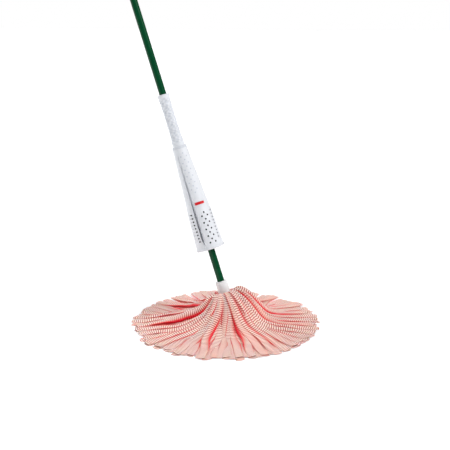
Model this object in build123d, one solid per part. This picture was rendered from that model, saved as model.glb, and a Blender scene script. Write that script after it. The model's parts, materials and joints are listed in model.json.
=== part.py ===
from build123d import *
import math
import os

# String mop with a twist wringer, in millimetres.
# The strips lie spread on the floor, z = 0, round the origin. The handle leans towards -X in the XZ plane.
# Pieces on the handle are drawn upright about Z, with height 0 at the neck point, then leaned into place.

# --- driving dimensions ---
lean = 19.7                    # handle's lean from upright, degrees
neck = (12.5, 0.0, 70.0)       # point the handle leans about, in the gathered strips
running = 0.05                 # radial clearance of a running fit

tube_radius = 11.0
tube_wall = 0.8
tube_low = 46.0
tube_high = 1280.0
pin_height = 58.0
pin_radius = 1.5
pin_gap = 0.02

socket_radius = 18.5
socket_top = 71.0
flange_radius = 25.0
flange_low = 14.0
flange_high = 18.0
thread_radius = 12.2
thread_pitch = 4.0
thread_turns = 6
thread_depth = 1.8
thread_gap = 0.2
ridge_rise = 1.2               # height of a thread ridge's slope, and of its flat crest
ridge_crest = 0.6
plug_low = 22.0
plug_shoulder = 44.0
plug_high = 92.0
plug_lead = 2.0                # height and width of the lead-in at the plug's top
plug_lead_width = 1.5
plug_bore = 5.0
plug_floor = 50.0
stub_radius = 13.0             # stub below the flange, inside the strips' band
stub_low = 12.0
socket_floor = 20.0
socket_waist = 40.0
socket_taper = 0.4
lip_height = 6.0               # stepped lip at the socket's top
lip_step = 1.2
lip_edge = 0.8
guide_gap = 0.3
guide_mouth = 3.0
pilot_radius = 2.5             # hole that the clamp screw cuts its thread in

plate_low = -3.0               # clamp plate, washer and screw under the band
plate_high = 1.0
post_radius = 8.0
clamp_hole = 2.6
washer_thick = 1.0
washer_gap = 0.1
clamp_shank = 2.48
clamp_end = 19.0
clamp_head = 5.5
clamp_head_height = 3.2
clamp_dome = 3.4
clamp_dome_height = 2.0
cross_length = 6.0
cross_width = 1.1
cross_depth = 1.7
band_bore = 13.2
band_radius = 26.0
band_bevel = 2.0
band_bevel_height = 3.0

crown_radius = 46.0            # gathered strips round the hub
crown_bore = 27.0
crown_half_height = 31.0
skirt_radius = 288.0           # strips spread on the floor
skirt_edge = 4.5
bundle_count = 12
centre_radius = 41.5
centre_height = 19.0
soft_gap = 0.8
mound_top = 71.0
mound_slope = [(230.0, 7.0), (171.0, 15.0), (118.0, 39.0), (83.0, 59.0), (60.0, 68.0)]   # radius, height
mound_cutter = 200.0           # taller than the mound

rim_low = 178.0                # wringer cup's open end
cup_top = 497.0
cup_wall = 2.0
cup_profile = [(497.0, 22.5), (345.0, 32.6), (290.0, 37.6), (178.0, 43.2)]   # height, outer radius
rim_radius = 45.4
rim_height = 5.0
rim_bevel = 0.7
deck_wall = 2.5

# The cup is moulded in three equal thirds. Each third's holes, dimples and groove run along one direction,
# the way its side of the mould is pulled, and are placed by their offset to the right of the middle.
pull_angles = (-46.0, 74.0, 194.0)
groove_near = 8.6              # groove's offset to the left is groove_near + groove_spread * cup radius
groove_spread = 0.32
groove_sections = [(486.0, 0.6, 0.5), (470.0, 2.5, 1.8), (421.0, 4.5, 2.7), (376.0, 6.5, 3.3),
                   (320.0, 9.5, 3.8), (215.0, 15.0, 4.1), (198.0, 3.0, 1.6), (190.0, 0.6, 0.5)]
                               # height, depth, half width at the surface
hole_pitch = 10.5              # height from one row of drain holes to the next
hole_low = 198.0
spread_radius = 2.75
spread_offsets = (-3.4, 5.6, 14.5)     # every second row, the middle column one row higher
spread_rows = 5
dense_radius = 2.4
dense_offsets = (-30.8, 29.0)  # every row, from the second up
dense_rows = 9
dimple_offsets = (-9.0, 0.0, 9.0)
dimple_pitch = 20.8
dimple_low = 357.0
dimple_rows = 7
dimple_ball = 3.2
dimple_depth = 0.6

ring_radius = 22.4             # ring between cup and grip
ring_high = 505.0
ring_bore = 15.6
ring_edge = 0.6
ring_edge_height = 0.8
ring_shoulder = 1.2
ring_seat = 18.5               # cone that the grip's foot sits in
ring_seat_depth = 4.0
grip_top = 667.0
grip_outline = [(18.4, 505.0), (18.2, 514.0), (16.2, 528.0), (15.1, 548.0), (14.9, 600.0),
                (15.4, 642.0), (16.6, 652.0), (19.0, 663.0)]                 # radius, height
grip_lip_radius = 19.4
grip_lip_bevel = (1.0, 1.2)    # across, along
grip_foot_radius = 15.4
grip_bore = 12.6
foot_bore = 13.1
foot_bore_high = 522.0
bush_bore = 13.0
bush_low = 640.0
bush_high = 663.0
seal_groove = 1.5              # depth of the friction ring's groove, and half its height
seal_groove_half = 1.0
seal_offset = 0.75
seal_radius = 0.72
retainer_gap = 0.6
foot_flange = 15.0             # flange of the bush at the grip's foot
foot_flange_thick = 2.0
foot_radius = 13.0
foot_top = 521.0
foot_lead = (0.6, 3.0)         # across, along
foot_running = 0.08

screw_turns = (30.0, 150.0, 270.0)
screw_circle = 18.0
screw_radius = 1.5
screw_head = 2.4
screw_hole = 1.6
screw_end = 500.5

badge_angle = -42.0
badge_height = 322.5
badge_width = 29.5
badge_tall = 8.4
badge_corner = 2.2
badge_thick = 0.9

cap_low = 1250.0
cap_radius = 12.6
eye_height = 1308.0
eye_radius = 11.5
eye_thick = 9.0
eye_waist = 8.0                # from the eye's middle down to the cap's flattened waist
eye_root = 12.0
eye_relief = 0.4
waist_corner = 4.0
hang_hole = 4.5

on_base = (Align.CENTER, Align.CENTER, Align.MIN)


def rod(radius, low, high):
    """A round bar about Z."""
    return Pos(0, 0, low) * Cylinder(radius, high - low, align=on_base)


def ring(outer, inner, low, high):
    """A plain ring or tube about Z."""
    return rod(outer, low, high) - rod(inner, low, high)


def turned(outline):
    """A closed outline of (radius, height) points turned about Z."""
    face = make_face(Plane.XZ * Polyline(*outline, close=True))
    return revolve(face, Axis.Z)


def leaned(shape):
    """Carries an upright handle piece to its leaning place."""
    return Pos(*neck) * Rot(0, -lean, 0) * shape


def cup_radius(height):
    """Outer radius of the wringer cup at a height, along its straight tapers."""
    for (high, small), (low, large) in zip(cup_profile, cup_profile[1:]):
        if height >= low:
            return large + (small - large) * (height - low) / (high - low)
    return cup_profile[-1][1]


# --- handle and connector ---

def handle_tube():
    tube = ring(tube_radius, tube_radius - tube_wall, tube_low, tube_high)
    return tube - pin_hole()


def pin_hole():
    return Pos(0, 0, pin_height) * Rot(90, 0, 0) * Cylinder(pin_radius, 4 * tube_radius)


def plug_pin():
    return Pos(0, 0, pin_height) * Rot(90, 0, 0) * Cylinder(pin_radius - pin_gap, 2 * tube_radius)


def thread_plug():
    """Plug pressed into the tube's lower end, with the thread that the head screws onto."""
    root = thread_radius - thread_depth
    outline = [(0, plug_low), (root, plug_low)]
    for turn in range(thread_turns - 1):
        low = plug_low + 1 + turn * thread_pitch
        crest = low + ridge_rise
        outline += [(root, low), (thread_radius, crest), (thread_radius, crest + ridge_crest),
                    (root, crest + ridge_crest + ridge_rise)]
    spigot = tube_radius - tube_wall - running
    outline += [(root, plug_shoulder), (tube_radius, plug_shoulder), (tube_radius, tube_low),
                (spigot, tube_low), (spigot, plug_high - plug_lead), (spigot - plug_lead_width, plug_high),
                (plug_bore, plug_high), (plug_bore, plug_floor), (0, plug_floor)]
    return turned(outline) - pin_hole()


def head_socket():
    """Clear socket of the mop head: thread below, tube guide above, and a flange that carries the strips."""
    bore = thread_radius + thread_gap
    guide = tube_radius + guide_gap
    lip = socket_radius - lip_step
    outline = [(0, stub_low), (stub_radius, stub_low), (stub_radius, flange_low), (flange_radius, flange_low),
               (flange_radius, flange_high), (socket_radius - socket_taper, flange_high + 1.5),
               (socket_radius, socket_waist), (socket_radius, socket_top - lip_height),
               (lip, socket_top - lip_height + 1), (lip, socket_top - lip_edge), (lip - lip_edge, socket_top),
               (guide + guide_gap, socket_top), (guide, socket_top - guide_mouth), (guide, tube_low + 1),
               (bore, tube_low), (bore, socket_floor), (0, socket_floor)]
    return turned(outline) - rod(pilot_radius, stub_low - 1, socket_floor + 1)


def clamp_plate():
    plate = rod(flange_radius, plate_low, plate_high) + rod(post_radius, plate_high, stub_low)
    return plate - rod(clamp_hole, plate_low - 1, stub_low + 1)


def clamp_washer():
    return ring(post_radius, clamp_hole + washer_gap, plate_low - washer_thick, plate_low)


def clamp_screw():
    seat = plate_low - washer_thick
    top = seat - clamp_head_height
    head = turned([(0, top), (clamp_dome, top), (clamp_head, top + clamp_dome_height), (clamp_head, seat),
                   (clamp_shank, seat), (clamp_shank, clamp_end), (0, clamp_end)])
    cross = Box(cross_length, cross_width, 2 * cross_depth) + Box(cross_width, cross_length, 2 * cross_depth)
    return head - Pos(0, 0, top) * cross


def strip_band():
    """Sewn band that gathers the strips' roots between the flange and the clamp plate."""
    return turned([(band_bore, plate_high), (band_radius - band_bevel, plate_high),
                   (band_radius, plate_high + band_bevel_height), (band_radius, flange_low - band_bevel_height),
                   (band_radius - band_bevel, flange_low), (band_bore, flange_low)])


def strip_crown():
    """Strips folded over round the hub, inside a sphere about the neck point."""
    ball = Sphere(crown_radius) & rod(crown_radius + 1, -crown_half_height, crown_half_height)
    return ball - rod(crown_bore, -crown_radius, crown_radius)


def handle_end_cap():
    """Pushed on the tube's top end, flattened above into an eye."""
    skirt = ring(cap_radius, tube_radius + running, cap_low, tube_high)
    base = Plane.XY.offset(tube_high) * Circle(cap_radius)
    waist_width = 2 * eye_radius - 2
    waist = Plane.XY.offset(eye_height - eye_waist) * RectangleRounded(waist_width, eye_thick, waist_corner)
    shoulder = loft([base, waist])
    eye_face = Plane.XZ * (Pos(0, eye_height) * Circle(eye_radius))
    root_face = Plane.XZ * (Pos(0, eye_height - eye_root / 2) * Rectangle(waist_width - eye_relief, eye_root))
    root = extrude(root_face, eye_thick / 2 - eye_relief, both=True)
    hole = Pos(0, 0, eye_height) * Rot(90, 0, 0) * Cylinder(hang_hole, 4 * eye_thick)
    return skirt + shoulder + extrude(eye_face, eye_thick / 2, both=True) + root - hole


# --- wringer ---

def cup_cone(inset, low, high):
    """Solid cone of the cup, pulled in by inset, from low to high."""
    outline = [(0, high), (cup_radius(high) - inset, high)]
    outline += [(radius - inset, height) for height, radius in cup_profile if low < height < high]
    outline += [(cup_radius(low) - inset, low), (0, low)]
    return turned(outline)


def groove_wedge(inset):
    """V groove down one third of the cup, pulled along +X; an inset moves both its flanks inwards."""
    reach = 8.0
    sections = []
    for height, depth, half in groove_sections:
        offset = groove_near + groove_spread * cup_radius(height)
        surface = math.sqrt(cup_radius(height) ** 2 - offset ** 2)
        apex = surface - depth - inset / math.sin(math.atan2(half, depth))
        outer = surface + reach
        wide = (outer - apex) * half / depth
        corners = Polyline((apex, -offset), (outer, -offset - wide), (outer, -offset + wide), close=True)
        sections.append(Plane.XY.offset(height) * make_face(corners))
    return loft(sections, ruled=True)


def drain_hole(radius, offset, row):
    """Hole through one wall of a third, pulled along +X."""
    from_middle = Pos(0, offset, hole_low + hole_pitch * row) * Rot(0, 90, 0)
    return from_middle * Cylinder(radius, rim_radius + 1, align=on_base)


def drain_holes():
    """Drain holes of one third: three spread columns and a dense one at each side."""
    holes = []
    for column, offset in enumerate(spread_offsets):
        holes += [drain_hole(spread_radius, offset, 2 * row + column % 2) for row in range(spread_rows)]
    for offset in dense_offsets:
        holes += [drain_hole(dense_radius, offset, row + 1) for row in range(dense_rows)]
    return holes


def dimples():
    """Shallow round dimples on the upper part of one third, in staggered columns."""
    marks = []
    for column, offset in enumerate(dimple_offsets):
        stagger = 0.5 * ((column + 1) % 2)
        for row in range(dimple_rows - (column + 1) % 2):
            height = dimple_low + dimple_pitch * (row + stagger)
            from_axis = cup_radius(height) + dimple_ball - dimple_depth
            marks.append(Pos(math.sqrt(from_axis ** 2 - offset ** 2), offset, height) * Sphere(dimple_ball))
    return marks


def wringer_cup():
    """Three-grooved perforated cup, open below, with a flanged rim."""
    rim_top = rim_low + rim_height
    rim = turned([(0, rim_low), (rim_radius - rim_bevel, rim_low), (rim_radius, rim_low + rim_bevel),
                  (rim_radius, rim_top - rim_bevel), (rim_radius - rim_bevel, rim_top), (0, rim_top)])
    outside = cup_cone(0, rim_low, cup_top) + rim
    inside = cup_cone(cup_wall, rim_low - 1, cup_top - deck_wall)
    cuts = [rod(bush_bore + 0.1, cup_top - deck_wall - 1, cup_top + 1)]
    cuts += around_screws(rod(screw_hole, cup_top - 4, cup_top + 1))
    for angle in pull_angles:
        outside -= Rot(0, 0, angle) * groove_wedge(0)
        inside -= Rot(0, 0, angle) * groove_wedge(cup_wall)
        cuts += [Rot(0, 0, angle) * cut for cut in drain_holes() + dimples()]
    return outside - inside - cuts


def around_screws(shape):
    """Copies of a shape at the three screws' places."""
    return [Rot(0, 0, turn) * Pos(screw_circle, 0, 0) * shape for turn in screw_turns]


def cup_screws():
    """Three screws up through the cup's deck into the coupling ring."""
    deck = cup_top - deck_wall
    head_high = 2.0
    return around_screws(rod(screw_radius, deck, screw_end) + rod(screw_head, deck - head_high, deck))


def coupling_ring():
    """Ring that holds the grip's foot down on the cup."""
    body = turned([(ring_bore, cup_top), (ring_radius - ring_edge, cup_top),
                   (ring_radius, cup_top + ring_edge_height), (ring_radius, ring_high - ring_shoulder),
                   (ring_radius - ring_shoulder, ring_high), (ring_seat, ring_high),
                   (ring_bore, ring_high - ring_seat_depth)])
    return body - around_screws(rod(screw_radius + running, cup_top - 1, screw_end + 0.5))


def wringer_grip():
    """Hand grip of the wringer, flared at its top."""
    side = Spline(*grip_outline)
    foot_low = cup_top + 0.1
    foot = Polyline((foot_bore, foot_low), (grip_foot_radius, foot_low),
                    (grip_foot_radius, ring_high - ring_seat_depth - 0.1), grip_outline[0])
    across, along = grip_lip_bevel
    socket = bush_bore + running
    top = Polyline(grip_outline[-1], (grip_lip_radius, grip_top - along), (grip_lip_radius - across, grip_top),
                   (socket, grip_top), (socket, bush_low - 0.2), (grip_bore, bush_low - 1),
                   (grip_bore, foot_bore_high + 1), (foot_bore, foot_bore_high), (foot_bore, foot_low))
    return revolve(make_face(Plane.XZ * (foot + side + top)), Axis.Z)


def lower_bush():
    """Bush at the grip's foot that runs on the tube, flanged under the cup's deck."""
    inner = tube_radius + foot_running
    seat = cup_top - deck_wall
    across, along = foot_lead
    low = seat - foot_flange_thick
    return turned([(inner, low), (foot_flange, low), (foot_flange, seat), (foot_radius, seat),
                   (foot_radius, foot_top - along), (foot_radius - across, foot_top),
                   (inner, foot_top)])


def friction_bush():
    """Bush in the grip's top that slides on the tube; the grip turns round it."""
    inner = tube_radius + running
    middle = (bush_low + bush_high) / 2
    groove = tube_radius + seal_groove
    return turned([(inner, bush_low), (bush_bore, bush_low), (bush_bore, bush_high), (inner, bush_high),
                   (inner, middle + seal_groove_half), (groove, middle + seal_groove_half),
                   (groove, middle - seal_groove_half), (inner, middle - seal_groove_half)])


def friction_ring():
    """Rubber ring in the friction bush's groove, bearing on the tube."""
    middle = (bush_low + bush_high) / 2
    return Pos(0, 0, middle) * Torus(tube_radius + seal_offset, seal_radius)


def bush_retainer():
    return ring(bush_bore, tube_radius + retainer_gap, bush_high + 0.2, grip_top - retainer_gap)


def badge():
    """Plain curved plate on the cup, with no mark on it."""
    low = badge_height - badge_tall / 2
    high = badge_height + badge_tall / 2
    band = turned([(cup_radius(low), low), (cup_radius(low) + badge_thick, low),
                   (cup_radius(high) + badge_thick, high), (cup_radius(high), high)])
    outline = Plane.YZ * (Pos(0, badge_height) * RectangleRounded(badge_width, badge_tall, badge_corner))
    plate = band & extrude(outline, rim_radius)
    return Rot(0, 0, badge_angle) * plate


# --- strips, as plain soft solids ---

def strip_mound():
    """Strips spread from the crown down to the floor, hollowed round the crown's ball."""
    inner = centre_radius + soft_gap
    slope = Spline((skirt_radius, skirt_edge), *mound_slope, (inner, mound_top))
    rest = Polyline((inner, mound_top), (inner, 0), (skirt_radius, 0), (skirt_radius, skirt_edge))
    mound = revolve(make_face(Plane.XZ * (slope + rest)), Axis.Z)
    return mound - Pos(*neck) * Sphere(crown_radius + soft_gap)


def sector(index):
    """Wedge-shaped column that cuts one bundle of strips out of the mound."""
    half = 180 / bundle_count
    reach = 2 * skirt_radius
    side = (reach * math.cos(math.radians(half)), reach * math.sin(math.radians(half)))
    wedge = extrude(make_face(Polyline((0, 0), side, (side[0], -side[1]), close=True)), mound_cutter)
    return Rot(0, 0, 2 * half * index) * Pos(soft_gap, 0, 0) * wedge


def save(name, shape):
    export_step(shape, f"parts/{name}.step")


os.makedirs("parts", exist_ok=True)

for build in (handle_tube, plug_pin, thread_plug, head_socket, clamp_plate, clamp_washer, clamp_screw,
              strip_band, strip_crown, handle_end_cap, wringer_cup, coupling_ring, wringer_grip, lower_bush,
              friction_bush, friction_ring, bush_retainer, badge):
    save(build.__name__, leaned(build()))

save("cup_screws", Compound(children=[leaned(screw) for screw in cup_screws()]))

save("strip_centre", rod(centre_radius, 0, centre_height))
mound = strip_mound()
for index in range(bundle_count):
    save(f"strip_bundle_{index + 1:02d}", mound & sector(index))
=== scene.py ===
import bpy
import json
import math
import numpy as np
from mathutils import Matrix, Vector


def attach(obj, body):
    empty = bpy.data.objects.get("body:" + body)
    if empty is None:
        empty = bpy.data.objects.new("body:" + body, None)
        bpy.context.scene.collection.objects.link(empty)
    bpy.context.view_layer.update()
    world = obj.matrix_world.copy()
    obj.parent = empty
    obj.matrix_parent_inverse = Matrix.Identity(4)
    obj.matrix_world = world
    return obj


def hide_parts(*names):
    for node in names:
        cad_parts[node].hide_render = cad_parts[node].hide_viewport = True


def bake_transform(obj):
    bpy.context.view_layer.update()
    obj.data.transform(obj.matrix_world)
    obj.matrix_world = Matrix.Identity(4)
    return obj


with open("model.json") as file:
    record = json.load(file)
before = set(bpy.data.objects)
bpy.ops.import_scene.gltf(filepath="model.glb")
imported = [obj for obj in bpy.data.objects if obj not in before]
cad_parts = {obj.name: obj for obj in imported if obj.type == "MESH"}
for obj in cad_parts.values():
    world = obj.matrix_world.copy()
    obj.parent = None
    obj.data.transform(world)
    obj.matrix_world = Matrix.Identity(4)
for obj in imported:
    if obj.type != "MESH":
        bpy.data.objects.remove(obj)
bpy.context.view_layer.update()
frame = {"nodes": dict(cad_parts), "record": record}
print("frame loaded")

# the handle's lean and the point it leans about come from the lean joint and the slide along the tube
joints = {j["name"]: j for j in frame["record"]["behaviour"]["joints"]}
neck = np.array(joints["handle_lean"]["pos_m"], float)
handleUp = np.array(joints["wringer_slide"]["axis"], float)
handleUp /= np.linalg.norm(handleUp)
handleSide = np.array([handleUp[2], 0.0, -handleUp[0]])     # across the handle, in the plane of the lean
handleAcross = np.array([0.0, 1.0, 0.0])


def alongHandle(points):
    # upright points measured from the neck, turned to stand along the handle
    p = np.asarray(points, float)
    return neck + p[..., :1] * handleSide + p[..., 1:2] * handleAcross + p[..., 2:3] * handleUp


def smooth(low, high, x):
    # eases from 0 at low to 1 at high
    t = np.clip((x - low) / (high - low), 0.0, 1.0)
    return t * t * (3 - 2 * t)


shot = {
    "place": (1.1348, -2.0183, 0.9197),
    "turn": 29.28,          # degrees round from looking along +Y
    "tip": 14.587,          # degrees down from level
    "lens": 63.16,          # mm on a 36 mm sensor
}


def setCamera():
    data = bpy.data.cameras.new("camera")
    data.lens = shot["lens"]
    data.sensor_width = 36.0
    camera = bpy.data.objects.new("camera", data)
    camera.location = shot["place"]
    camera.rotation_euler = (math.radians(90 - shot["tip"]), 0, math.radians(shot["turn"]))
    bpy.context.collection.objects.link(camera)
    bpy.context.scene.camera = camera


light = {
    "suns": [                           # name, where it comes from, power, spread in degrees
        ("mainLight", (0.667, 0.047, 0.743), 2.6, 30),      # right of the camera
        ("rimLight", (-0.794, -0.202, 0.574), 1.9, 40),     # behind, on the left
        ("streakLight", (0.90, -0.43, 0.07), 0.10, 4),      # low on the right, draws a line down the tube
    ],
    "sky": (0.90, 0.95, 1.0),
    "skyPower": 0.18,
}


def setLights():
    for name, source, power, spread in light["suns"]:
        data = bpy.data.lights.new(name, "SUN")
        data.energy = power
        data.angle = math.radians(spread)
        lamp = bpy.data.objects.new(name, data)
        lamp.location = source
        lamp.rotation_euler = Vector(source).to_track_quat("Z", "Y").to_euler()
        bpy.context.collection.objects.link(lamp)
    # the sky lights softly but is seen as plain white
    world = bpy.data.worlds.new("studio")
    world.use_nodes = True
    tree = world.node_tree
    sky = tree.nodes["Background"]
    sky.inputs["Color"].default_value = (*light["sky"], 1)
    sky.inputs["Strength"].default_value = light["skyPower"]
    seen = tree.nodes.new("ShaderNodeBackground")
    seen.inputs["Color"].default_value = (1, 1, 1, 1)
    path = tree.nodes.new("ShaderNodeLightPath")
    choose = tree.nodes.new("ShaderNodeMixShader")
    tree.links.new(path.outputs["Is Camera Ray"], choose.inputs[0])
    tree.links.new(sky.outputs[0], choose.inputs[1])
    tree.links.new(seen.outputs[0], choose.inputs[2])
    tree.links.new(choose.outputs[0], tree.nodes["World Output"].inputs[0])
    bpy.context.scene.world = world
    bpy.context.scene.view_settings.view_transform = "Standard"


class Wire:
    # one socket; arithmetic on it adds Math nodes
    def __init__(self, board, socket):
        self.board = board
        self.socket = socket

    def __add__(self, other):
        return self.board.calc("ADD", self, other)

    def __sub__(self, other):
        return self.board.calc("SUBTRACT", self, other)

    def __rsub__(self, other):
        return self.board.calc("SUBTRACT", other, self)

    def __mul__(self, other):
        return self.board.calc("MULTIPLY", self, other)

    def __truediv__(self, other):
        return self.board.calc("DIVIDE", self, other)

    def __rtruediv__(self, other):
        return self.board.calc("DIVIDE", other, self)

    __radd__ = __add__
    __rmul__ = __mul__


class Board:
    # the nodes of one material
    def __init__(self, name):
        self.material = bpy.data.materials.new(name)
        self.material.use_nodes = True
        self.tree = self.material.node_tree
        self.shader = self.tree.nodes["Principled BSDF"]

    def plug(self, value, socket):
        if isinstance(value, Wire):
            self.tree.links.new(value.socket, socket)
        elif hasattr(value, "__len__") and len(value) == 3 and socket.type == "RGBA":
            socket.default_value = (*value, 1.0)
        else:
            socket.default_value = value

    def add(self, kind, settings=None, inputs=None, out=0):
        node = self.tree.nodes.new("ShaderNode" + kind)
        for key, value in (settings or {}).items():
            setattr(node, key, value)
        for key, value in (inputs or {}).items():
            self.plug(value, node.inputs[key])
        return Wire(self, node.outputs[out])

    def calc(self, operation, *values):
        return self.add("Math", {"operation": operation}, dict(enumerate(values)))

    def mix(self, factor, first, second, blend="MIX"):
        return self.add("Mix", {"data_type": "RGBA", "blend_type": blend}, {0: factor, 6: first, 7: second}, out=2)

    def place(self, scale=(1, 1, 1)):
        point = self.add("TexCoord", out=3)
        return self.add("Mapping", {}, {"Vector": point, "Scale": scale})

    def noise(self, scale, detail=3.0, rough=0.5, where=None):
        where = where or self.place()
        return self.add("TexNoise", {}, {"Vector": where, "Scale": scale, "Detail": detail, "Roughness": rough})

    def ease(self, value, low, high):
        return self.add("MapRange", {"interpolation_type": "SMOOTHSTEP"},
                        {"Value": value, "From Min": low, "From Max": high})

    def stretch(self, value, low, high, toLow, toHigh):
        return self.add("MapRange", {}, {"Value": value, "From Min": low, "From Max": high,
                                         "To Min": toLow, "To Max": toHigh})

    def attribute(self, name):
        return self.add("Attribute", {"attribute_name": name}, out=2)

    def bump(self, height, strength, distance):
        return self.add("Bump", {}, {"Height": height, "Strength": strength, "Distance": distance})

    def finish(self, fixed=None, **links):
        for key, value in (fixed or {}).items():
            self.plug(value, self.shader.inputs[key])
        for key, value in links.items():
            self.plug(value, self.shader.inputs[key.replace("_", " ")])
        return self.material


def gridQuads(rows, columns):
    # quads between neighbouring rows of a grid whose columns close on themselves
    r = np.arange(rows - 1)[:, None]
    c = np.arange(columns)[None, :]
    n = (c + 1) % columns
    corners = [r * columns + c, r * columns + n, (r + 1) * columns + n, (r + 1) * columns + c]
    return np.stack(corners, -1).reshape(-1, 4)


def makeMesh(name, points, quads, uv=None, marks=None):
    # points (n, 3), quads (m, 4); uv per point, and named numbers per point
    mesh = bpy.data.meshes.new(name)
    mesh.vertices.add(len(points))
    mesh.vertices.foreach_set("co", np.asarray(points, np.float32).ravel())
    mesh.loops.add(4 * len(quads))
    mesh.loops.foreach_set("vertex_index", np.asarray(quads, np.int32).ravel())
    mesh.polygons.add(len(quads))
    mesh.polygons.foreach_set("loop_start", np.arange(0, 4 * len(quads), 4, dtype=np.int32))
    if uv is not None:
        layer = mesh.uv_layers.new(name="cloth")
        layer.data.foreach_set("uv", np.asarray(uv, np.float32)[quads.ravel()].ravel())
    for key, values in (marks or {}).items():
        mesh.attributes.new(key, "FLOAT", "POINT").data.foreach_set("value", np.asarray(values, np.float32))
    mesh.update(calc_edges=True)
    mesh.validate()
    mesh.shade_smooth()
    piece = bpy.data.objects.new(name, mesh)
    bpy.context.collection.objects.link(piece)
    return piece


strips = {
    "perLayer": 48,
    "lock": 3,               # strips that run together as one fold at the crown
    "width": 0.0265,
    "thickCrown": 0.0030,
    "thickRim": 0.0018,
    "along": 84,             # rings along one strip
    "across": 7,             # points across one face
    "fine": 600,             # samples along a path, and how many a corner is rounded over
    "rounding": 61,
    "rim": 0.286,
    "rimSpread": 0.011,
    "front": math.radians(-60.7),     # the side where the crown's strips crowd together
    "gather": math.radians(24),       # how far they crowd that way at the crown
    "back": math.radians(52),         # half the sector behind the crown where the upper strips are few
    "shift": (-0.0005, 0.0099),       # the spread's middle, from the origin
    "bundles": 12,
    "seed": 11,
    "thinned": (0.55, 0.45, 0.15),    # share of each layer's strips left out behind the crown
    "blendFrom": (0.045, 0.02),       # from the neck, outwards and up, where the strips leave the handle
    "blendTo": (0.135, -0.04),
    # distances from the middle, m, between which each effect comes in or fades
    "ownReach": (0.08, 0.25),
    "crowdOver": (0.21, 0.05),
    "swingFrom": (0.035, 0.055),
    "swingTo": (0.18, 0.25),
    "swayOver": (0.05, 0.26),
    "riseOver": (0.28, 0.14),
    "riseHub": (0.03, 0.06),
    "holdOver": (0.135, 0.045),
    "narrowOver": (0.10, 0.04),
    # how strips differ
    "memberSplit": 0.055,             # radians between neighbours of a fold at the crown
    "bearingSpread": 0.012,
    "sway": 0.060,
    "rise": 0.0028,
    "memberDrop": 0.0026,
    "heightSpread": 0.0005,
    "memberRoll": 0.55,
    "crownRoll": 0.10,
    "flatRoll": 0.018,
    "slant": 0.30,
    # section
    "flatFold": 0.10,                 # radians that a strip is bent through across its width, at the rim
    "deepFold": (1.9, 0.25, 1.2),     # more at the crown: mean, spread, and power of the crowding
    "narrowing": 0.25,
    "archRest": 0.25,                 # how much of an arch's height its edges stand below the path
    "slantReach": 0.015,
    "bowReach": 0.004,
    "floorGap": 0.0002,
    # height of each layer's strips against distance from the middle, from the hub outwards, mm
    "paths": [
        [(22, 66), (21.5, 82), (23.5, 96), (30, 105), (40, 107), (53, 101), (70, 87), (92, 65), (114, 45), (140, 26),
         (172, 14), (212, 8.0), (252, 5.4), (286, 4.4)],
        [(23, 64), (23, 80), (27, 92), (35, 98), (48, 95), (64, 82), (86, 60), (108, 40), (136, 21), (170, 9.4),
         (212, 4.8), (252, 3.4), (286, 2.9)],
        [(24, 62), (25, 76), (31, 86), (41, 89), (53, 85), (68, 72), (87, 53), (109, 33), (135, 15), (166, 5.2),
         (210, 2.2), (252, 1.4), (286, 1.3)],
    ],
}


# painted shade, deep red, in the strips' creases: how strong each part is and where it fades
creaseShadeSettings = {
    "memberPlace": 1.15,       # a strip's place across its fold, and the fold's half width, in half strips
    "foldHalf": 2.1,
    "depth": (0.85, 1.45),
    "side": 1.25,
    "sidePower": 3.2,
    "edgeBand": (0.62, 1.0),
    "edge": (0.45, 1.05),
    "layer": 0.42,
    "hub": 0.35,
    "under": 0.9,
    # distances from the middle, m, between which each fades
    "sideOver": (0.28, 0.13),
    "edgeOver": (0.292, 0.20),
    "layerOver": (0.17, 0.07),
    "hubOver": (0.036, 0.024),
    "underOver": (0.286, 0.255),
}


def evenPath(points, count):
    # the polyline sampled finely, averaged with its neighbours so that corners round off, then spaced evenly
    p = np.array(points, float) / 1000
    length = np.r_[0, np.cumsum(np.hypot(*np.diff(p, axis=0).T))]
    fine = np.linspace(0, length[-1], strips["fine"])
    r, z = (np.interp(fine, length, p[:, i]) for i in (0, 1))
    window = np.hanning(strips["rounding"])
    window /= window.sum()
    pad = len(window) // 2
    r, z = (np.convolve(np.r_[2 * a[0] - a[pad:0:-1], a, 2 * a[-1] - a[-2:-pad - 2:-1]], window, "valid")
            for a in (r, z))
    length = np.r_[0, np.cumsum(np.hypot(np.diff(r), np.diff(z)))]
    even = np.linspace(0, length[-1], count)
    return np.interp(even, length, r), np.interp(even, length, z), length[-1]


def perFold(rng, spread, n):
    # one random value for each fold, given to all its strips
    return np.repeat(rng.normal(0, spread, n // strips["lock"]), strips["lock"])[:, None]


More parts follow.
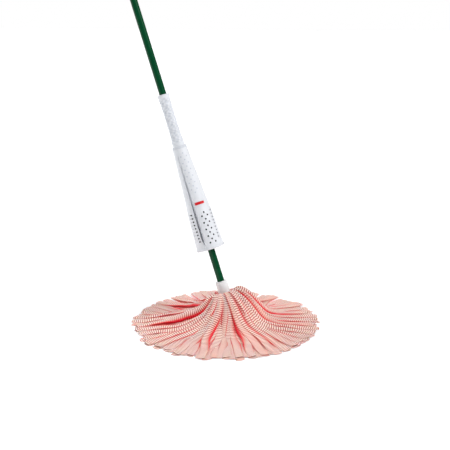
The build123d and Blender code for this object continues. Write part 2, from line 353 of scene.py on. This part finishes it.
def stripPoints(layer, rimAngle, member, rng):
    # one layer's strips as an array (strip, ring, point round the strip, xyz). A strip follows a path in height
    # and distance whose bearing swings from its fold's bearing at the crown to its own at the rim. member is its
    # place in the fold, -1 to 1: the outer ones lie lower and are rolled down over the fold's sides. Its section
    # is a flat tube bent into an arch that is deep at the crown and flat at the rim.
    n = len(rimAngle)
    count = strips["along"]
    r, z, length = evenPath(strips["paths"][layer], count)
    reach = 1 + rng.uniform(-1, 1, n) * strips["rimSpread"] / strips["rim"]
    outer = smooth(*strips["ownReach"], r)
    rho = r[None] * (1 + (reach[:, None] - 1) * outer[None])
    crowd = smooth(*strips["crowdOver"], rho)
    # bearing
    step = 2 * math.pi / strips["perLayer"]
    foldAngle = rimAngle - member * step
    crownAngle = (foldAngle - strips["gather"] * np.sin(foldAngle - strips["front"])
                  + member * strips["memberSplit"] + rng.normal(0, strips["bearingSpread"], n))
    swingFrom = rng.uniform(*strips["swingFrom"], n)[:, None]
    swingTo = rng.uniform(*strips["swingTo"], n)[:, None]
    swing = smooth(swingFrom, swingTo, rho)
    sway = perFold(rng, strips["sway"], n) + rng.normal(0, strips["bearingSpread"], n)[:, None]
    wave = sway * np.sin(np.pi * smooth(*strips["swayOver"], rho))
    bearing = crownAngle[:, None] + (rimAngle - crownAngle)[:, None] * swing + wave
    rise = perFold(rng, strips["rise"], n)
    lift = (rise * smooth(*strips["riseOver"], rho) * smooth(*strips["riseHub"], rho)
            - np.abs(member)[:, None] * strips["memberDrop"] * crowd
            + rng.normal(0, strips["heightSpread"], n)[:, None] * outer[None])
    height = z[None] + lift
    out = np.stack([np.cos(bearing), np.sin(bearing), np.zeros_like(bearing)], -1)
    flat = rho[..., None] * out + np.array([0, 0, 1.0]) * height[..., None]
    onFloor = flat + np.array([*strips["shift"], 0.0])
    onHandle = alongHandle(flat - np.array([0, 0, neck[2]]))
    hold = smooth(*strips["holdOver"], rho)[..., None]
    centre = onHandle * hold + onFloor * (1 - hold)
    # frame: along the strip, sideways, and out of its face
    ahead = np.gradient(centre, axis=1)
    ahead /= np.linalg.norm(ahead, axis=-1, keepdims=True)
    side = np.stack([-np.sin(bearing), np.cos(bearing), np.zeros_like(bearing)], -1)
    side -= (side * ahead).sum(-1, keepdims=True) * ahead
    side /= np.linalg.norm(side, axis=-1, keepdims=True)
    face = np.cross(ahead, side)
    roll = (-member[:, None] * strips["memberRoll"] * crowd + rng.normal(0, strips["crownRoll"], n)[:, None] * crowd
            + rng.normal(0, strips["flatRoll"], n)[:, None])[..., None]
    side, face = side * np.cos(roll) + face * np.sin(roll), face * np.cos(roll) - side * np.sin(roll)
    # section: an arch of total angle fold
    deep, spread, power = strips["deepFold"]
    fold = strips["flatFold"] + (deep + rng.normal(0, spread, n)[:, None]) * crowd ** power
    v = np.linspace(-1, 1, strips["across"])
    span = np.r_[v, v[::-1]]
    upper = np.r_[np.ones(len(v)), np.zeros(len(v))]
    thick = strips["thickRim"] + (strips["thickCrown"] - strips["thickRim"]) * crowd
    half = (upper - 0.5) * np.sqrt(np.clip(1 - np.abs(span) ** 8, 0.05, 1))
    ends = np.sqrt(np.clip(1 - (np.linspace(-1, 1, count) ** 60), 0.06, 1))
    turn = fold[..., None] * span / 2
    narrow = 1 - strips["narrowing"] * smooth(*strips["narrowOver"], rho)     # squeezed narrower at the crown
    bend = strips["width"] * narrow[..., None] / fold[..., None]
    offset = half[None, None] * (thick * ends[None])[..., None]
    x = (bend + offset) * np.sin(turn)
    sink = bend * strips["archRest"] * (1 - np.cos(fold[..., None] / 2))
    y = (bend + offset) * np.cos(turn) - bend + sink
    points = centre[:, :, None] + side[:, :, None] * x[..., None] + face[:, :, None] * y[..., None]
    points[..., 2] = np.maximum(points[..., 2], strips["floorGap"])
    # a slanting, slightly bowed cut at the strip's end
    slant = rng.normal(0, strips["slant"], n)[:, None, None]
    cut = (smooth(0.9, 1.0, np.linspace(0, 1, count))[None, :, None]
           * (slant * span * strips["slantReach"] - strips["bowReach"] * span ** 2))
    points += ahead[:, :, None] * cut[..., None]
    uv = np.stack(np.broadcast_arrays(span[None, None] * strips["width"] / 2,
                                      np.linspace(0, length, count)[None, :, None]
                                      + rng.normal(0, 0.0003, n)[:, None, None]), -1)
    # how much painted shade a point gets in a crease: down a fold's side, at a strip's edge, under the upper layers,
    # close to the hub, or on an underside. At the edge it is partly the strips' own red edge and partly painted
    # shade
    def within(name):
        return smooth(*creaseShadeSettings[name], rho)[..., None]

    across = np.clip(np.abs(member[:, None, None] * creaseShadeSettings["memberPlace"] + span) / creaseShadeSettings["foldHalf"], 0, 1)
    depth = rng.uniform(*creaseShadeSettings["depth"], n)[:, None, None]
    edge = smooth(*creaseShadeSettings["edgeBand"], np.abs(span))[None, None] * rng.uniform(*creaseShadeSettings["edge"], n)[:, None, None]
    creaseShade = (across ** creaseShadeSettings["sidePower"] * within("sideOver") * depth * creaseShadeSettings["side"]
              + edge * within("edgeOver")
              + layer * creaseShadeSettings["layer"] * within("layerOver")
              + creaseShadeSettings["hub"] * within("hubOver"))
    creaseShade = np.maximum(creaseShade, (1 - upper)[None, None] * creaseShadeSettings["under"] * within("underOver"))
    tone = rng.uniform(0, 1, n)[:, None, None] * np.ones_like(creaseShade)
    return points, uv, np.clip(creaseShade, 0, 1), tone, length


def stripMesh(name, parts):
    # joins strips into one mesh; each is a closed tube with quads across its two ends
    across = strips["across"]
    around = 2 * across
    count = strips["along"]
    quads = gridQuads(count, around)
    pair = np.arange(across - 1)
    first = np.stack([pair, around - 1 - pair, around - 2 - pair, pair + 1], -1)
    last = (count - 1) * around + first[:, ::-1]
    one = np.concatenate([quads, first[:, ::-1], last[:, ::-1]])[:, ::-1]
    total = sum(len(p[0]) for p in parts)
    step = count * around
    allQuads = (one[None] + np.arange(total)[:, None, None] * step).reshape(-1, 4)
    points = np.concatenate([p[0].reshape(-1, 3) for p in parts])
    uv = np.concatenate([np.broadcast_to(p[1], p[0].shape[:3] + (2,)).reshape(-1, 2) for p in parts])
    creaseShade = np.concatenate([p[2].ravel() for p in parts])
    tone = np.concatenate([p[3].ravel() for p in parts])
    return makeMesh(name, points, allQuads, uv, {"creaseShade": creaseShade, "tone": tone})


def buildStrips(material):
    rng = np.random.default_rng(strips["seed"])
    bins = [[] for _ in range(strips["bundles"])]
    lengths = [[] for _ in range(strips["bundles"])]
    step = 2 * math.pi / strips["perLayer"]
    place = np.arange(strips["perLayer"])
    member = (place % strips["lock"]) - (strips["lock"] - 1) / 2
    for layer in range(3):
        angle = (place + layer * 0.5 * strips["lock"]) * step
        points, uv, creaseShade, tone, length = stripPoints(layer, angle, member, rng)
        # behind the crown the upper layers have few strips, so that the floor shows between them
        behind = np.abs((angle - strips["front"]) % (2 * math.pi) - math.pi) < strips["back"]
        keep = ~(behind & (rng.uniform(0, 1, len(angle)) < strips["thinned"][layer]))
        sector = np.round(angle / (2 * math.pi) * strips["bundles"]).astype(int) % strips["bundles"]
        for k in range(strips["bundles"]):
            pick = (sector == k) & keep
            if pick.any():
                bins[k].append((points[pick], uv[pick], creaseShade[pick], tone[pick]))
                lengths[k] += [length] * int(pick.sum())
    for k in range(strips["bundles"]):
        piece = stripMesh(f"spread_strips_{k + 1:02d}", bins[k])
        piece.data.materials.append(material)
        bearing = 2 * math.pi * k / strips["bundles"]
        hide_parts(f"strip_bundle_{k + 1:02d}", *(["strip_crown", "strip_centre"] if k == 0 else []))
        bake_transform(piece)
    print("strips:", sum(len(one) for one in lengths), "in", strips["bundles"], "bundles")


knit = {
    "pitch": 0.0066,           # from one course to the next along a strip
    "rib": 0.0066,             # from one rib to the next across it
    "slope": 0.15,             # how far courses slant within a rib
    "ribStart": 0.1,           # keeps the rib pattern clear of zero
    "pale": ((0.97, 0.70, 0.59), (0.98, 0.77, 0.69)),
    "rose": ((0.42, 0.040, 0.034), (0.50, 0.080, 0.066)),
    "plainBack": (0.86, 0.46, 0.38),
    # painted shade for the creases, light and deep, and the colour of a faint painted glow
    "shadeBlush": ((0.50, 0.060, 0.055), (0.90, 0.40, 0.33)),
    "deep": ((0.52, 0.006, 0.016), (0.72, 0.06, 0.07)),
    "paintedGlow": (0.22, 0.002, 0.008),
}


def knitCloth():
    # cream stitches between rose courses that wave a little across the strip; deep red painted shade in the creases,
    # with a faint painted glow
    b = Board("stripKnit")
    uv = b.add("UVMap", {"uv_map": "cloth"})
    split = b.add("SeparateXYZ", {}, {0: uv})
    u = split
    v = Wire(b, split.socket.node.outputs[1])
    halfRib = knit["rib"] / 2
    ridge = b.calc("PINGPONG", u + knit["ribStart"], halfRib)     # 0 at a rib's edge, halfRib at its middle
    course = (v + ridge * knit["slope"]) / knit["pitch"]
    wave = b.calc("COSINE", course * (2 * math.pi)) * 0.5 + 0.5
    between = b.ease(ridge / halfRib, 0.0, 0.30)                  # thin line between ribs
    cell = wave * (between * 0.20 + 0.80)
    patch = b.noise(16, 2.0)
    creaseShade = b.attribute("creaseShade")
    tone = b.attribute("tone")
    plain = b.ease(tone, 0.86, 0.94)                          # a few strips show their plainer back
    pale = b.mix(patch, *knit["pale"])
    rose = b.mix(patch, *knit["rose"])
    cloth = b.mix(b.ease(cell, 0.08, 0.52), rose, pale)
    cloth = b.mix(plain * 0.75, cloth, knit["plainBack"])
    # light red painted shade where the crease shade begins
    shadeBlush = b.ease(creaseShade, 0.04, 0.40)
    cloth = b.mix(shadeBlush * 0.65, cloth, b.mix(wave, *knit["shadeBlush"]))
    # dark red painted shade deep in the creases
    deep = b.ease(creaseShade, 0.35, 0.85)
    colour = b.mix(deep * 0.95, cloth, b.mix(wave * 0.4, *knit["deep"]))
    fuzz = b.noise(900, 2.0)
    height = cell * 0.8 + fuzz * 0.35
    return b.finish({"Sheen Weight": 0.15, "Sheen Roughness": 0.5, "Specular IOR Level": 0.2,
                     "Emission Strength": 1.0, "Subsurface Weight": 0.3, "Subsurface Scale": 0.008,
                     "Subsurface Radius": (1.0, 0.22, 0.14)},
                    Base_Color=colour, Roughness=b.stretch(fuzz, 0, 1, 0.78, 0.95),
                    Emission_Color=b.mix(deep, (0.0, 0.0, 0.0), knit["paintedGlow"]),   # painted glow in the creases, standing in for light through the cloth
                    Normal=b.bump(height, 0.7, 0.0008))


dimple = {
    "turns": (-46.0, 74.0, 194.0),     # the way each third of the cup faces, degrees round the handle
    "columns": 9.0,                    # mm between the three columns of a third
    "pitch": 20.8,
    "low": 357.0,
    "last": 6,                         # row of the highest dimple of the middle column
    "soft": (1.3, 2.9),                # mm from its middle, where its shade fades out
}


def handlePlace(b):
    # a point's place in the handle's own frame: across its lean, sideways and along it
    here = b.add("SeparateXYZ", {}, {0: b.place()}).socket.node.outputs
    x, y, z = (Wire(b, here[i]) - float(neck[i]) for i in range(3))
    return (x * float(handleSide[0]) + z * float(handleSide[2]), y,
            x * float(handleUp[0]) + z * float(handleUp[2]))


def insideShade(b, across, y):
    # 1 on the walls that face the tube from inside the wringer, which get painted shade
    facing = b.add("SeparateXYZ", {}, {0: b.add("TexCoord", out=1)}).socket.node.outputs
    turned = Wire(b, facing[0]) * float(handleSide[0]) + Wire(b, facing[2]) * float(handleSide[2])
    inward = (turned * across + Wire(b, facing[1]) * y) / b.calc("SQRT", across * across + y * y) * -1.0
    return b.ease(inward, 0.4, 0.6)


def dimpleShade(b, across, y, along):
    # 1 in the cup's dimples, where shade is painted: the distance to the nearest point of each third's lattice,
    # whose outer columns stand half a pitch higher
    total = None
    for turn in dimple["turns"]:
        c, s = math.cos(math.radians(turn)), math.sin(math.radians(turn))
        side = (y * c - across * s) * (1000 / dimple["columns"])
        column = b.calc("ROUND", side)
        outer = b.calc("ABSOLUTE", column)
        place = (along * 1000 - dimple["low"]) / dimple["pitch"] - outer * 0.5
        row = b.calc("ROUND", place)
        aside, above = (side - column) * dimple["columns"], (place - row) * dimple["pitch"]
        near = 1 - b.ease(b.calc("SQRT", aside * aside + above * above), *dimple["soft"])
        near = near * b.calc("GREATER_THAN", across * c + y * s, 0.0) * b.calc("LESS_THAN", outer, 1.5)
        near = near * b.calc("GREATER_THAN", row, -0.5) * b.calc("LESS_THAN", row + outer, dimple["last"] + 0.5)
        total = near if total is None else total + near
    return total


def whitePlastic():
    # moulded white plastic: faint flow clouding, fine grain and light scuffs, with painted shade in the dimples,
    # between the grip's pads and inside the cup
    b = Board("wringerWhite")
    cloud = b.noise(22, 4.0)
    grain = b.noise(1500, 2.0)
    scuff = b.ease(b.noise(90, 5.0, 0.7, b.place((1, 1, 0.12))), 0.62, 0.72)
    colour = b.mix(cloud, (0.68, 0.695, 0.73), (0.74, 0.755, 0.785))
    colour = b.mix(scuff * 0.25, colour, (0.60, 0.62, 0.66))
    across, y, along = handlePlace(b)
    # painted shade in the cup's dimples and between the grip's pads, bluish grey
    recessShade = dimpleShade(b, across, y, along) * 0.62 + b.attribute("recessShade") * 0.34
    colour = b.mix(recessShade, colour, (0.40, 0.44, 0.53))
    colour = b.mix(insideShade(b, across, y), colour, (0.10, 0.105, 0.115))      # painted shade inside the cup
    return b.finish({"Specular IOR Level": 0.5},
                    Base_Color=colour, Roughness=b.stretch(cloud, 0.3, 0.7, 0.34, 0.46) + scuff * 0.15,
                    Normal=b.bump(grain * 0.5 + cloud, 0.12, 0.0006))


def greenPaint():
    # deep green enamel: slight orange peel, fine scratches along the tube and dull rubbed patches
    b = Board("tubeGreen")
    peel = b.noise(420, 2.0)
    rub = b.noise(14, 5.0, 0.6)
    scratch = b.ease(b.noise(260, 3.0, 0.6, b.place((1, 1, 0.05))), 0.66, 0.74)
    colour = b.mix(rub, (0.000, 0.048, 0.015), (0.000, 0.066, 0.022))
    colour = b.mix(scratch * 0.3, colour, (0.02, 0.14, 0.07))
    return b.finish({"Specular IOR Level": 0.1, "Coat Weight": 0.2, "Coat Roughness": 0.05},
                    Base_Color=colour, Roughness=b.stretch(rub, 0.3, 0.7, 0.20, 0.34) + scratch * 0.2,
                    Normal=b.bump(peel, 0.06, 0.0004))


def greenPlastic():
    # moulded green plastic with a fine satin grain
    b = Board("capGreen")
    grain = b.noise(1300, 2.0)
    cloud = b.noise(30, 3.0)
    colour = b.mix(cloud, (0.004, 0.085, 0.045), (0.008, 0.12, 0.065))
    return b.finish({}, Base_Color=colour, Roughness=b.stretch(cloud, 0.3, 0.7, 0.38, 0.5),
                    Normal=b.bump(grain, 0.25, 0.0003))


def clearPlastic():
    # cloudy clear plastic with soft flow ripples
    b = Board("socketClear")
    ripple = b.noise(60, 3.0)
    colour = b.mix(ripple, (0.95, 0.96, 0.98), (0.99, 0.99, 0.99))
    return b.finish({"Transmission Weight": 0.3, "IOR": 1.25},
                    Base_Color=colour, Roughness=b.stretch(ripple, 0.3, 0.7, 0.12, 0.24),
                    Normal=b.bump(ripple, 0.2, 0.001))


def plainPlastic(name, dark, light, rough):
    # moulded plastic in two close shades, clouded, with a fine grain
    b = Board(name)
    cloud = b.noise(40, 4.0)
    grain = b.noise(1400, 2.0)
    return b.finish({}, Base_Color=b.mix(cloud, dark, light),
                    Roughness=b.stretch(cloud, 0.3, 0.7, rough - 0.06, rough + 0.06),
                    Normal=b.bump(grain, 0.2, 0.0003))


def steel():
    # bright steel, brushed along one way
    b = Board("screwSteel")
    brush = b.noise(700, 3.0, 0.6, b.place((1, 1, 0.08)))
    return b.finish({"Metallic": 1.0}, Base_Color=b.mix(brush, (0.50, 0.50, 0.49), (0.68, 0.68, 0.66)),
                    Roughness=b.stretch(brush, 0.2, 0.8, 0.25, 0.42), Normal=b.bump(brush, 0.1, 0.0003))


def bandCloth():
    # woven tape: crossing threads
    b = Board("bandTape")
    point = b.place()
    split = b.add("SeparateXYZ", {}, {0: point})
    z = Wire(b, split.socket.node.outputs[2])
    thread = b.calc("SINE", z * (2 * math.pi / 0.0012)) * 0.5 + 0.5
    fuzz = b.noise(600, 3.0)
    return b.finish({}, Base_Color=b.mix(thread * 0.6 + fuzz * 0.3, (0.62, 0.55, 0.50), (0.86, 0.82, 0.78)),
                    Roughness=b.stretch(fuzz, 0, 1, 0.8, 0.95), Normal=b.bump(thread + fuzz, 0.5, 0.0004))


def dress(node, material):
    mesh = frame["nodes"][node].data
    mesh.materials.clear()
    mesh.materials.append(material)


grip = {
    "around": 128,
    "along": 220,
    "bumpHeight": 0.0015,
    "bumpPitch": 0.0135,      # along the grip
    "bumpsAround": 7,
    "padLow": 0.505,          # height of the first row of pads
    "padBias": 0.35,          # widens the pads against the grooves between them
    "padRound": 0.6,          # flattens their tops
    "padReach": (0.512, 0.655),
    "fadeLow": (0.510, 0.520),
    "fadeHigh": (0.660, 0.648),
    "outside": 0.0143,        # radius beyond which the outline is the grip's outside
    "outline": [(15.6, 501.0), (18.4, 504.6), (18.4, 507), (18.1, 514), (16.4, 528), (15.2, 548), (14.9, 575),
                (14.9, 600), (15.2, 630), (15.7, 645), (16.9, 653), (18.9, 661.5), (19.4, 664.5), (19.2, 666.2),
                (18.0, 667.0), (16.0, 667.0), (13.2, 667.0), (13.05, 666.4), (13.05, 655), (13.05, 640), (12.7, 638),
                (12.7, 560), (12.9, 510), (13.2, 501.0)],      # radius and height, mm
}


def buildGrip(material):
    # the outline turned about the tube, its outside raised into staggered soft pads
    p = np.array(grip["outline"], float) / 1000
    p = np.r_[p, p[:1]]
    length = np.r_[0, np.cumsum(np.hypot(*np.diff(p, axis=0).T))]
    even = np.linspace(0, length[-1], grip["along"] + 1)[:-1]
    r = np.interp(even, length, p[:, 0])[:, None]
    h = np.interp(even, length, p[:, 1])[:, None]
    turn = np.linspace(0, 2 * math.pi, grip["around"], endpoint=False)[None]
    row = (h - grip["padLow"]) / grip["bumpPitch"]
    stagger = 0.5 * np.cos(math.pi * row)
    pads = np.cos(grip["bumpsAround"] * turn + math.pi * stagger) * np.cos(2 * math.pi * row)
    pads = np.clip(grip["padBias"] + pads, 0, 1) ** grip["padRound"]
    low, high = grip["padReach"]
    outside = (r > grip["outside"]) & (h > low) & (h < high)
    fade = smooth(*grip["fadeLow"], h) * smooth(*grip["fadeHigh"], h)
    r = r + np.where(outside, pads * fade * grip["bumpHeight"], 0.0)
    points = alongHandle(np.stack([r * np.cos(turn), r * np.sin(turn), h * np.ones_like(turn)], -1))
    around, top = grip["around"], (grip["along"] - 1) * grip["around"]
    quads = gridQuads(grip["along"], around)
    here = np.arange(around)
    after = (here + 1) % around
    last = np.stack([top + here, top + after, after, here], -1)     # closes the last ring onto the first
    # how much painted shade falls between the pads
    recessShade = np.where(outside, (1 - pads) * fade, 0.0)
    piece = makeMesh("wringer_grip_pads", points.reshape(-1, 3), np.concatenate([quads, last])[:, ::-1],
                     marks={"recessShade": recessShade.ravel()})
    piece.data.materials.append(material)
    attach(piece, "wringer")
    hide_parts("wringer_grip")
    print("grip built")


def buildFloor():
    half = 60.0
    mesh = bpy.data.meshes.new("floor")
    mesh.from_pydata([(-half, -half, 0), (half, -half, 0), (half, half, 0), (-half, half, 0)], [], [(0, 1, 2, 3)])
    floor = bpy.data.objects.new("floor", mesh)
    bpy.context.collection.objects.link(floor)
    b = Board("floorPale")
    speck = b.noise(3.0, 2.0)
    mesh.materials.append(b.finish({"Emission Color": (1.0, 1.0, 1.0), "Emission Strength": 0.22},
                                   Base_Color=b.mix(speck, (0.93, 0.93, 0.935), (0.95, 0.95, 0.955)),
                                   Roughness=b.stretch(speck, 0, 1, 0.7, 0.8)))


setCamera()
setLights()
buildFloor()
white = whitePlastic()
buildStrips(knitCloth())
buildGrip(white)

natural = plainPlastic("bushNatural", (0.70, 0.67, 0.58), (0.82, 0.79, 0.70), 0.45)
metal = steel()
finishes = {
    "handle_tube": greenPaint(),
    "handle_end_cap": greenPlastic(),
    "head_socket": clearPlastic(),
    "thread_plug": plainPlastic("plugLilac", (0.66, 0.60, 0.66), (0.78, 0.73, 0.78), 0.4),
    "badge": plainPlastic("badgeRed", (0.55, 0.010, 0.016), (0.68, 0.018, 0.024), 0.25),
    "friction_ring": plainPlastic("ringRubber", (0.012, 0.012, 0.012), (0.03, 0.03, 0.03), 0.8),
    "strip_band": bandCloth(),
    "wringer_cup": white, "clamp_plate": white,
    # a greyer copy of the wringer's white: painted shade that marks the step at the coupling ring
    "coupling_ring": plainPlastic("ringWhitePaintedShade", (0.58, 0.60, 0.65), (0.66, 0.68, 0.72), 0.4),
    "friction_bush": natural, "lower_bush": natural, "bush_retainer": natural,
    "plug_pin": metal, "clamp_screw": metal, "clamp_washer": metal, "cup_screws": metal,
}
for node, material in finishes.items():
    dress(node, material)
print("materials given")
